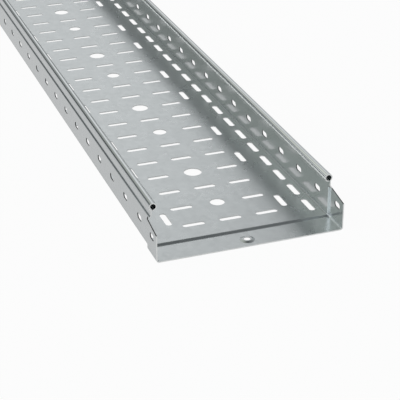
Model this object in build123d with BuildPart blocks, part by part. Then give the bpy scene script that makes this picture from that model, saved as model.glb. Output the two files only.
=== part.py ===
from build123d import *
import os
from math import sin, cos, tan, radians, sqrt

# Perforated cable tray, cold rolled from one galvanised strip.
# Y runs along the tray, X across it, Z up. The origin is at the middle of the
# underside of the whole piece, so the coupling end points to -Y.

# Strip and channel
sheet = 1.2               # thickness of the strip
inner_width = 200.0       # clear width between the walls
side_height = 52.0        # underside of the floor to the top of the bead
tray_length = 2000.0      # from the step of the coupling to the plain end
floor_bend = 2.0          # inside radius where floor and walls meet

# Rolled bead and the set-in neck under it
bead_radius = 4.3         # outside radius of the rolled bead
bead_turn = 310.0         # how far the strip curls round, in degrees
bead_overrun = 6.5        # how far the bead runs on past the step
shoulder_height = 36.2    # underside of the floor to where the wall turns in
shoulder_lean = 45.0      # lean of the strip between wall and neck, in degrees
shoulder_bend = 2.0       # outside radius where the wall turns in
neck_depth = 1.8          # how far the neck is set in from the wall
neck_bend = 1.5           # outside radius at both ends of the neck
flank_lean = 35.0         # lean of the strip between neck and bead, in degrees

# Stepped coupling that takes the plain end of the next tray
nesting_clearance = 0.4   # play round the next tray
coupling_length = 33.5    # step included
step_run = 4.2            # length over which the strip is stepped
step_bend = 0.8           # length of the bend at each end of that run
coupling_back = 35.5      # height of the coupling's walls at the step
coupling_front = 30.5     # height of the coupling's walls at the mouth
relief_gap = 1.4          # slit that frees the bead from the stepped wall

# Floor perforation
row_pitch = 40.0
first_row = 27.5          # step to the first row
rows_in_pattern = 5       # the pattern repeats after this many rows
end_metal = 5.0           # least metal between an opening and the plain end
slot_width = 7.0
cross_slot_length = 25.0
cross_slot_column = 41.5  # middle line of the tray to the slot
long_slot_length = 28.0
outer_column = 90.0       # middle line of the tray to the long slots beside the walls
inner_column = 66.0       # middle line of the tray to the sparser long slots
small_hole = 16.5         # diameter, in the second row of each pattern
large_hole = 20.5         # diameter, in the fourth row of each pattern
bracket_rows = (0, 2)     # rows whose outer cross slots take the first bracket
full_rounds = 2           # holes of each size, and wall slots, drawn with true arcs
hole_sides = 12           # flats that stand for the round of the other holes

# Wall perforation
wall_slot_pitch = 50.0
first_wall_slot = 27.0    # step to the first slot
wall_slot_length = 14.0
wall_slot_width = 6.5
wall_slot_height = 20.6   # underside of the floor to the middle of the slots

# Openings of the coupling
joint_slot_length = 12.5
joint_slot_width = 6.5
joint_slot_height = 22.9  # underside of the coupling to the middle of its slots
joint_slot_setback = 19.5 # step to the middle of the slots
joint_hole = 7.5          # diameter
joint_hole_setback = 20.5 # step to the middle of the hole
dimple_foot = 8.0         # radius of the raised dimple round the hole
dimple_top = 5.0          # radius of its flat top
dimple_rise = 1.2

# Places that follow from the sizes above
step = sheet + nesting_clearance
floor_top = step + sheet
half_outer = inner_width / 2 + sheet
front_y = -(tray_length + coupling_length) / 2
end_y = front_y + coupling_length + tray_length
step_y = front_y + coupling_length
step_end = step_y - step_run
step_slope = step / (step_run - step_bend)
bend_drop = step_slope * step_bend / 2
bead_x = half_outer - bead_radius
bead_z = step + side_height - bead_radius


def section_plane(y):
    """Upright plane across the tray, X to the right and Z up."""
    return Plane(origin=(0, y, 0), x_dir=(1, 0, 0), z_dir=(0, -1, 0))


def rolled_line(depth):
    """Right half of the rolled section, at a depth below the strip's outer face."""
    lower = radians(shoulder_lean)
    upper = radians(flank_lean)
    wall_x = half_outer - depth
    neck_x = wall_x - neck_depth
    shoulder_z = step + shoulder_height - depth * tan(lower / 2)
    touch_x = bead_x + (bead_radius - depth) * cos(upper)
    touch_z = bead_z - (bead_radius - depth) * sin(upper)
    line = FilletPolyline(
        (0, step + depth),
        (wall_x, step + depth),
        (wall_x, shoulder_z),
        (neck_x, shoulder_z + neck_depth / tan(lower)),
        (neck_x, touch_z - (touch_x - neck_x) / tan(upper)),
        (touch_x, touch_z),
        radius=[floor_bend + sheet - depth, shoulder_bend - depth,
                neck_bend + depth, neck_bend + depth],
    )
    curl = CenterArc((bead_x, bead_z), bead_radius - depth, -flank_lean, bead_turn)
    return line @ 0, curl @ 1


def coupling_line(spread, depth):
    """Right half of the coupling's section, moved down and out by the spread."""
    wall_x = half_outer + spread - depth
    line = FilletPolyline(
        (0, step - spread + depth),
        (wall_x, step - spread + depth),
        (wall_x, coupling_back),
        radius=floor_bend + sheet - depth,
    )
    return line @ 0, line @ 1


def coupling_section(y, spread):
    """Plain channel section across the coupling."""
    with BuildSketch(section_plane(y)) as channel:
        with BuildLine():
            outer_start, outer_end = coupling_line(spread, 0)
            inner_start, inner_end = coupling_line(spread, sheet)
            Line(outer_start, inner_start)
            Line(outer_end, inner_end)
        make_face()
        mirror(about=Plane.YZ)
    return channel.sketch


def slot_corners(length, width):
    """Outline of a slot along X with half octagons for its round ends."""
    corner = width / 2 * (2 - sqrt(2))
    x = length / 2
    y = width / 2
    return [
        (x, y - corner), (x - corner, y), (corner - x, y), (-x, y - corner),
        (-x, corner - y), (corner - x, -y), (x - corner, -y), (x, corner - y),
    ]


with BuildSketch(section_plane(step_y)) as rolled_section:
    with BuildLine():
        floor_low, curl_outside = rolled_line(0)
        floor_high, curl_inside = rolled_line(sheet)
        Line(floor_low, floor_high)
        Line(curl_outside, curl_inside)
    make_face()
    mirror(about=Plane.YZ)

# The bead and neck alone, above the slit that frees them from the stepped walls
with BuildSketch(section_plane(step_y)) as bead_section:
    add(rolled_section.sketch)
    with Locations((0, coupling_back + relief_gap)):
        Rectangle(4 * half_outer, 4 * side_height, align=(Align.CENTER, Align.MAX),
                  mode=Mode.SUBTRACT)

# Middles of the floor openings, row by row while there is room before the plain end
bracket_slots = []
cross_slots = []
small_holes = []
large_holes = []
long_slots = []
row = 0
while step_y + first_row + row * row_pitch + slot_width / 2 + end_metal < end_y:
    y = step_y + first_row + row * row_pitch
    in_pattern = row % rows_in_pattern + 1
    if row in bracket_rows:
        bracket_slots += [(-cross_slot_column, y), (cross_slot_column, y)]
    else:
        cross_slots += [(-cross_slot_column, y), (cross_slot_column, y)]
    if in_pattern == 2:
        small_holes.append((0, y))
    elif in_pattern == 4:
        large_holes.append((0, y))
    else:
        cross_slots.append((0, y))
    if y + long_slot_length / 2 + end_metal < end_y:
        long_slots += [(-outer_column, y), (outer_column, y)]
    if in_pattern in (1, 4) and y + row_pitch < end_y:
        long_slots += [(-inner_column, y + row_pitch / 2), (inner_column, y + row_pitch / 2)]
    row += 1

wall_slots = []
y = step_y + first_wall_slot
while y + wall_slot_length / 2 + end_metal < end_y:
    wall_slots.append((y, step + wall_slot_height))
    y += wall_slot_pitch

with BuildPart() as cable_tray:
    # Step: the strip goes down and out in a shallow double bend
    loft(sections=[
        coupling_section(step_y, 0),
        coupling_section(step_y - step_bend, bend_drop),
        coupling_section(step_end + step_bend, step - bend_drop),
        coupling_section(step_end, step),
    ], ruled=True)

    # Coupling, with the tops of its walls sloping down to the mouth
    with BuildSketch(section_plane(step_end)):
        add(coupling_section(step_end, step).faces())
    extrude(amount=step_end - front_y)
    with BuildSketch(Plane.YZ):
        with BuildLine():
            Polyline(
                (step_end, coupling_back),
                (front_y, coupling_front),
                (front_y, 2 * coupling_back),
                (step_end, 2 * coupling_back),
                close=True,
            )
        make_face()
    extrude(amount=2 * half_outer, both=True, mode=Mode.SUBTRACT)

    # Channel with its necks and rolled beads, up to the plain end
    add(extrude(rolled_section.sketch, amount=-tray_length, mode=Mode.PRIVATE))
    add(extrude(bead_section.sketch, amount=bead_overrun, mode=Mode.PRIVATE))

    # Raised dimple: the strip is pushed up from below, then pierced
    with Locations((0, step_y - joint_hole_setback, sheet)):
        Cone(dimple_foot, dimple_top, dimple_rise, align=(Align.CENTER, Align.CENTER, Align.MIN))
    with Locations((0, step_y - joint_hole_setback, 0)):
        Cone(dimple_foot - sheet, dimple_top - sheet, dimple_rise,
             align=(Align.CENTER, Align.CENTER, Align.MIN), mode=Mode.SUBTRACT)
        Cylinder(joint_hole / 2, 4 * step, mode=Mode.SUBTRACT)

    # Slots and holes of the floor
    with BuildSketch() as floor_openings:
        with Locations(bracket_slots):
            SlotOverall(cross_slot_length, slot_width)
        with Locations(cross_slots):
            Polygon(*slot_corners(cross_slot_length, slot_width))
        with Locations(long_slots):
            Polygon(*slot_corners(long_slot_length, slot_width), rotation=90)
        for middles, diameter in ((small_holes, small_hole), (large_holes, large_hole)):
            with Locations(middles[:full_rounds]):
                Circle(diameter / 2)
            with Locations(middles[full_rounds:]):
                RegularPolygon(diameter / 2, hole_sides, major_radius=False)
    extrude(amount=2 * floor_top, mode=Mode.SUBTRACT)

    # Slots of both walls, cut straight through from side to side
    with BuildSketch(Plane.YZ):
        with Locations(wall_slots[:full_rounds]):
            SlotOverall(wall_slot_length, wall_slot_width)
        with Locations(wall_slots[full_rounds:]):
            Polygon(*slot_corners(wall_slot_length, wall_slot_width))
        with Locations((step_y - joint_slot_setback, joint_slot_height)):
            Polygon(*slot_corners(joint_slot_length, joint_slot_width))
    extrude(amount=2 * half_outer, both=True, mode=Mode.SUBTRACT)

cable_tray.part.label = "cable_tray"
os.makedirs("parts", exist_ok=True)
export_step(cable_tray.part, "parts/cable_tray.step")
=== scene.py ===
from math import cos, radians, sin

import bpy
from mathutils import Matrix, Vector


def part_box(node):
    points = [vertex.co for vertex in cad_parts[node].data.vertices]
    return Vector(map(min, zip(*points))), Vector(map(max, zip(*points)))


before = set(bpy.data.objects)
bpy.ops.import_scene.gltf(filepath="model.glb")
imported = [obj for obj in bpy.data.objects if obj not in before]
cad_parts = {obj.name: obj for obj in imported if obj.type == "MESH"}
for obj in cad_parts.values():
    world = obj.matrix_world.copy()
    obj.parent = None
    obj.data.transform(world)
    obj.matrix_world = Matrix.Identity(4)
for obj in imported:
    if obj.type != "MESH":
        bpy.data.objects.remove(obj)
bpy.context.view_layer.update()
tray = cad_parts["cable_tray"]
tray_low, tray_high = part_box("cable_tray")

# Camera, in metres and degrees, measured from the mouth of the coupling
camera_left = 0.4429
camera_back = 1.0756
camera_height = 0.6438
camera_heading = 19.77
camera_drop = 26.94
camera_roll = -0.16
camera_lens = 116.56

# Where the finishes change: heights, and distances from the tray's middle plane, in metres
floor_high = 0.0028
floor_bend = 0.002        # inside radius where floor and walls meet
wall_inside = 0.0999      # just short of the walls' inner faces
slots_low = 0.015
slots_high = 0.027
tops_low = 0.028
tops_high = 0.0372
bead_middle = 0.0969
bead_level = 0.0493
curl_reach = 0.0011       # how far the strip's last face lies from the bead's middle, at most
lip_inside = 0.093        # the bead's lip lies nearer the tray's middle than this
end_margin = 0.001        # the faces of the tray's two ends lie nearer to them than this

# How far a face's normal has to point one way, from 0 to 1
end_on = 0.99
lip_upright = 0.96
facing = 0.9
edge_on = 0.1
slanted = 0.05

# Pattern of the zinc coat; each noise has its scale per metre and its detail
crystal_scale = 190.0
wander_noise = (90.0, 2.0)       # bends the borders of the crystals
wander_share = 0.004
line_noise = (420.0, 4.0)
line_stretch = (1.0, 0.02, 1.0)  # draws the rolling lines out along the tray
cloud_noise = (14.0, 5.0)

# Heights over which the burnish of walls and beads sets in, and where a painted highlight lightens the
# upper inner sides of the beads
wall_bend = (0.003, 0.009)
neck_span = (0.037, 0.043)
highlight_side = (0.0956, 0.0940)
highlight_height = (0.0502, 0.0522)
# Colour of the painted highlight on the beads
painted_highlight_colour = (0.90, 0.92, 0.92)

# Surfaces; a burnish is the share of the roughness that the rolls leave
rolled_zinc = {
    "Crystal Strength": 0.14, "Line Strength": 0.16, "Cloud Strength": 0.22,
    "Low Roughness": 0.25, "High Roughness": 0.34, "Wall Burnish": 0.66, "Bead Burnish": 0.66,
}
bare_edge = {
    "Crystal Strength": 0.0, "Line Strength": 0.5, "Cloud Strength": 0.4,
    "Low Roughness": 0.4, "High Roughness": 0.55, "Wall Burnish": 1.0, "Bead Burnish": 1.0,
}
dull_lip = {**bare_edge, "Low Roughness": 0.85, "High Roughness": 0.95}
zinc_relief = 0.00001     # metres
edge_relief = 0.00002

# Each finish: dark and light colour, surface and relief
finishes = {
    "galvanised_strip": ((0.50, 0.53, 0.54), (0.66, 0.685, 0.69), rolled_zinc, zinc_relief),
    # Darker on the bends between floor and walls: painted shade over the bends' highlight
    "painted_shade_bend": ((0.38, 0.41, 0.415), (0.50, 0.52, 0.53), rolled_zinc, zinc_relief),
    # Bare cut steel at the tray's ends, made near white as a painted glint
    "sheared_end_with_glint": ((0.82, 0.84, 0.84), (0.96, 0.97, 0.96), bare_edge, edge_relief),
    "pierced_floor": ((0.56, 0.58, 0.58), (0.70, 0.72, 0.72), bare_edge, edge_relief),
    # Near white and dull along the inside of each bead: a painted highlight, for the glint of the
    # strip's free edge
    "painted_lip_highlight": ((0.96, 0.97, 0.96), (0.96, 0.97, 0.96), dull_lip, zinc_relief),
    # Near black on the slots' cut faces, the wall tops and the upright faces under each bead's middle:
    # rough punched faces with painted shade
    "painted_shade_faces": ((0.10, 0.10, 0.10), (0.18, 0.18, 0.18), bare_edge, edge_relief),
}

# Studio
floor_size = 14.0
floor_grey = 0.86
floor_glow = 0.95         # share of the floor's own white against its shadows
floor_mirrored = 0.71     # brightness of the floor where the metal mirrors it
room_grey = (0.265, 0.275, 0.280)
darkest_sky = (0.01, 0.01, 0.01)
neutral = (1.0, 1.0, 1.0)
cool = (0.96, 1.0, 1.04)
straw = (1.03, 1.05, 0.90)
greenish = (0.92, 1.04, 0.98)
# Each light or black cloth: heading and height in degrees, inner and outer radius, strength, tint
soft_boxes = {
    "floor_box": (13, 25, 2, 19, 0.75, neutral),
    "wall_box": (-19, 29, 3, 16, 0.20, straw),
    "high_box": (-20, 51, 5, 29, 0.35, straw),
    "low_left_box": (-60, 6, 4, 32, 1.35, neutral),
    "high_left_box": (-53, 32, 5, 31, 0.45, greenish),
    "side_left_box": (-84, 26, 10, 38, 0.70, cool),
    "front_left_box": (-150, 16, 11, 43, 0.60, cool),
    "low_right_box": (50, 7, 7, 29, 0.55, neutral),
    "side_right_box": (90, 20, 10, 43, 0.25, neutral),
    "front_right_box": (150, 50, 10, 42, 0.20, neutral),
    "ceiling_cloth": (0, 89, 10, 42, -0.17, neutral),
    "shoulder_cloth": (-31, 12, 3, 17, -0.17, neutral),
}


def new_node(tree, kind, inputs=None, **settings):
    """Adds a shader node; each input gets a plain value or the output that feeds it."""
    node = tree.nodes.new(kind)
    for name, value in settings.items():
        setattr(node, name, value)
    for key, value in (inputs or {}).items():
        if isinstance(value, bpy.types.NodeSocket):
            tree.links.new(value, node.inputs[key])
        else:
            node.inputs[key].default_value = value
    return node


def math_node(tree, operation, first, second, clamp=False):
    """Adds a math node and returns its result."""
    inputs = {0: first, 1: second}
    return new_node(tree, "ShaderNodeMath", inputs, operation=operation, use_clamp=clamp).outputs[0]


def vector_node(tree, operation, *values):
    """Adds a vector math node and returns its outputs."""
    inputs = dict(enumerate(values))
    return new_node(tree, "ShaderNodeVectorMath", inputs, operation=operation).outputs


def smooth_rise(tree, value, start, end, low, high):
    """Goes smoothly from low to high while the value goes from start to end."""
    inputs = {"Value": value, "From Min": start, "From Max": end, "To Min": low, "To Max": high}
    rise = new_node(tree, "ShaderNodeMapRange", inputs, interpolation_type="SMOOTHSTEP")
    return rise.outputs["Result"]


def mixed(tree, data_type, factor, first, second):
    """Mixes two colours, vectors or numbers by a factor."""
    inputs = {"Factor": factor, "A": first, "B": second}
    return new_node(tree, "ShaderNodeMix", inputs, data_type=data_type).outputs["Result"]


def noise(tree, vector, scale, detail):
    """Adds a noise texture and returns its outputs."""
    inputs = {"Vector": vector, "Scale": scale, "Detail": detail}
    return new_node(tree, "ShaderNodeTexNoise", inputs).outputs


def shader_blend(tree, factor, first, second):
    """Blends two shaders, the first where the factor is 0 and the second where it is 1."""
    inputs = {0: factor, 1: first.outputs[0], 2: second.outputs[0]}
    return new_node(tree, "ShaderNodeMixShader", inputs).outputs[0]


def zinc_coat_group():
    """Faint zinc crystals, rolling lines and cloudy patches of a galvanised strip, with a painted
    highlight on the upper inner sides of the beads.
    """
    tree = bpy.data.node_groups.new("zinc_coat", "ShaderNodeTree")
    sockets = tree.interface
    for name in ("Dark Colour", "Light Colour", "Bead Highlight Colour"):
        sockets.new_socket(name, in_out="INPUT", socket_type="NodeSocketColor")
    for name in ("Crystal Scale", "Crystal Strength", "Line Strength", "Cloud Strength",
                 "Low Roughness", "High Roughness", "Wall Burnish", "Bead Burnish"):
        sockets.new_socket(name, in_out="INPUT", socket_type="NodeSocketFloat")
    sockets.new_socket("Colour", in_out="OUTPUT", socket_type="NodeSocketColor")
    sockets.new_socket("Roughness", in_out="OUTPUT", socket_type="NodeSocketFloat")
    sockets.new_socket("Height", in_out="OUTPUT", socket_type="NodeSocketFloat")
    given = new_node(tree, "NodeGroupInput").outputs
    place = new_node(tree, "ShaderNodeTexCoord").outputs["Object"]
    apart = new_node(tree, "ShaderNodeSeparateXYZ", {"Vector": place}).outputs
    side = math_node(tree, "ABSOLUTE", apart["X"], 0.0)

    # Crystals with wandering borders
    wander = noise(tree, place, *wander_noise)["Color"]
    wandering = mixed(tree, "VECTOR", wander_share, place, wander)
    crystal_inputs = {"Vector": wandering, "Scale": given["Crystal Scale"]}
    crystals = new_node(tree, "ShaderNodeTexVoronoi", crystal_inputs, feature="F1")
    shade = new_node(tree, "ShaderNodeSeparateColor", {"Color": crystals.outputs["Color"]}).outputs

    # Rolling lines and clouds
    along = new_node(tree, "ShaderNodeMapping", {"Vector": place, "Scale": line_stretch})
    lines = noise(tree, along.outputs["Vector"], *line_noise)["Fac"]
    clouds = noise(tree, place, *cloud_noise)["Fac"]

    # The three together, as so much above or below the middle tone
    height = 0.0
    for pattern, strength in ((shade["Red"], "Crystal Strength"), (lines, "Line Strength"),
                              (clouds, "Cloud Strength")):
        centred = math_node(tree, "SUBTRACT", pattern, 0.5)
        part = math_node(tree, "MULTIPLY", centred, given[strength])
        height = math_node(tree, "ADD", height, part)

    # Colour, with a painted highlight on the upper inner sides of the beads
    tone = math_node(tree, "ADD", height, 0.5, clamp=True)
    colour = mixed(tree, "RGBA", tone, given["Dark Colour"], given["Light Colour"])
    highlight_share = math_node(tree, "MULTIPLY", smooth_rise(tree, side, *highlight_side, 0.0, 1.0),
                       smooth_rise(tree, apart["Z"], *highlight_height, 0.0, 1.0))
    colour = mixed(tree, "RGBA", highlight_share, colour, given["Bead Highlight Colour"])

    # Roughness, of which the rolls take a share away on walls and beads
    mottled = math_node(tree, "ADD", math_node(tree, "MULTIPLY", shade["Green"], 0.5),
                        math_node(tree, "MULTIPLY", clouds, 0.5), clamp=True)
    rough = mixed(tree, "FLOAT", mottled, given["Low Roughness"], given["High Roughness"])
    for heights, burnish in ((wall_bend, "Wall Burnish"), (neck_span, "Bead Burnish")):
        share = smooth_rise(tree, apart["Z"], *heights, 1.0, given[burnish])
        rough = math_node(tree, "MULTIPLY", rough, share)
    new_node(tree, "NodeGroupOutput", {"Colour": colour, "Roughness": rough, "Height": height})
    return tree


def strip_material(name, group, dark, light, surface, relief):
    """Metal with the zinc coat's colours, roughness and slight relief."""
    material = bpy.data.materials.new(name)
    material.use_nodes = True
    tree = material.node_tree
    # The light bead colour paints a highlight on the upper inner sides of the beads
    coat_inputs = {
        "Dark Colour": (*dark, 1), "Light Colour": (*light, 1), "Bead Highlight Colour": (*painted_highlight_colour, 1),
        "Crystal Scale": crystal_scale, **surface,
    }
    coat = new_node(tree, "ShaderNodeGroup", coat_inputs, node_tree=group).outputs
    bump = new_node(tree, "ShaderNodeBump", {"Distance": relief, "Height": coat["Height"]})
    metal = tree.nodes["Principled BSDF"].inputs
    metal["Metallic"].default_value = 1.0
    tree.links.new(coat["Colour"], metal["Base Color"])
    tree.links.new(coat["Roughness"], metal["Roughness"])
    tree.links.new(bump.outputs["Normal"], metal["Normal"])
    return material


def strip_face(face):
    """Names the finish of a face by where it lies and which way it faces."""
    across, along, up = (abs(part) for part in face.normal)
    side = abs(face.center.x)
    height = face.center.z
    on_wall = side > wall_inside
    between_ends = tray_low.y + end_margin < face.center.y < tray_high.y - end_margin
    in_slot = between_ends and on_wall and across < edge_on and slots_low < height < slots_high
    wall_top = on_wall and up > facing and tops_low < height < tops_high
    beside_bead = abs(side - bead_middle) < curl_reach and tops_high < height < bead_level
    # Painted shade: slots' cut faces, wall tops and upright faces under the bead middles go near black
    if in_slot or wall_top or (beside_bead and across > facing):
        return "painted_shade_faces"
    # Painted highlight: the upright inner faces of the beads go near white
    if across > lip_upright and side < lip_inside and height > tops_high:
        return "painted_lip_highlight"
    # Painted shade on the bends between floor and walls
    in_bend = not on_wall and floor_high < height < floor_high + floor_bend
    if in_bend and up > slanted and across > slanted:
        return "painted_shade_bend"
    in_floor = side < wall_inside - floor_bend and height < floor_high
    if between_ends and in_floor and up < edge_on:
        return "pierced_floor"
    # The ends' cut faces get bare steel made near white as a painted glint
    return "sheared_end_with_glint" if along > end_on else "galvanised_strip"


def dress_tray():
    """Gives each face of the strip its finish."""
    group = zinc_coat_group()
    tray.data.materials.clear()
    for name, finish in finishes.items():
        tray.data.materials.append(strip_material(name, group, *finish))
    for face in tray.data.polygons:
        face.material_index = tray.data.materials.find(strip_face(face))


def white_floor():
    """Plain pale floor, level with what the tray lies on."""
    bpy.ops.mesh.primitive_plane_add(size=floor_size, location=(0, 0, tray_low.z))
    floor = bpy.context.object
    floor.name = "studio_floor"
    material = bpy.data.materials.new("studio_floor")
    material.use_nodes = True
    tree = material.node_tree
    tree.nodes.clear()
    seen = new_node(tree, "ShaderNodeLightPath").outputs
    paint = new_node(tree, "ShaderNodeBsdfDiffuse", {"Color": (floor_grey, floor_grey, floor_grey, 1)})
    dimmed = math_node(tree, "MULTIPLY", seen["Is Glossy Ray"], 1.0 - floor_mirrored)
    glow = new_node(tree, "ShaderNodeEmission", {"Strength": math_node(tree, "SUBTRACT", 1.0, dimmed)})
    glowing = math_node(tree, "MULTIPLY", seen["Is Camera Ray"], floor_glow)
    shown = math_node(tree, "ADD", seen["Is Glossy Ray"], glowing)
    surface = shader_blend(tree, shown, paint, glow)
    new_node(tree, "ShaderNodeOutputMaterial", {"Surface": surface})
    floor.data.materials.append(material)


def sky_direction(heading, height):
    """Unit direction in the sky; heading 0 looks along the tray, 90 to its right."""
    level = cos(radians(height))
    return Vector((sin(radians(heading)) * level, cos(radians(heading)) * level,
                   sin(radians(height))))


def studio_world():
    """Grey room with soft boxes and black cloths, white to the camera."""
    world = bpy.data.worlds.new("studio")
    bpy.context.scene.world = world
    world.use_nodes = True
    tree = world.node_tree
    tree.nodes.clear()
    direction = new_node(tree, "ShaderNodeTexCoord").outputs["Generated"]
    sky = room_grey
    for heading, height, inner, outer, strength, tint in soft_boxes.values():
        nearness = vector_node(tree, "DOT_PRODUCT", direction, sky_direction(heading, height))["Value"]
        patch = smooth_rise(tree, nearness, cos(radians(outer)), cos(radians(inner)), 0.0, strength)
        sky = vector_node(tree, "MULTIPLY_ADD", patch, tint, sky)["Vector"]
    sky = vector_node(tree, "MAXIMUM", sky, darkest_sky)["Vector"]
    light = new_node(tree, "ShaderNodeBackground", {"Color": sky})
    white = new_node(tree, "ShaderNodeBackground", {"Color": (1, 1, 1, 1)})
    seen = new_node(tree, "ShaderNodeLightPath").outputs
    surface = shader_blend(tree, seen["Is Camera Ray"], light, white)
    new_node(tree, "ShaderNodeOutputWorld", {"Surface": surface})


def photo_camera():
    """Camera at the photograph's place and angle."""
    camera = bpy.data.objects.new("photo_camera", bpy.data.cameras.new("photo_camera"))
    camera.data.lens = camera_lens
    place = Matrix.Translation((-camera_left, tray_low.y - camera_back, camera_height))
    turn = Matrix.Rotation(radians(-camera_heading), 4, "Z")
    tilt = Matrix.Rotation(radians(90 - camera_drop), 4, "X")
    roll = Matrix.Rotation(radians(camera_roll), 4, "Z")
    camera.matrix_world = place @ turn @ tilt @ roll
    bpy.context.scene.collection.objects.link(camera)
    bpy.context.scene.camera = camera


bpy.context.scene.view_settings.view_transform = "Standard"
photo_camera()
dress_tray()
white_floor()
studio_world()
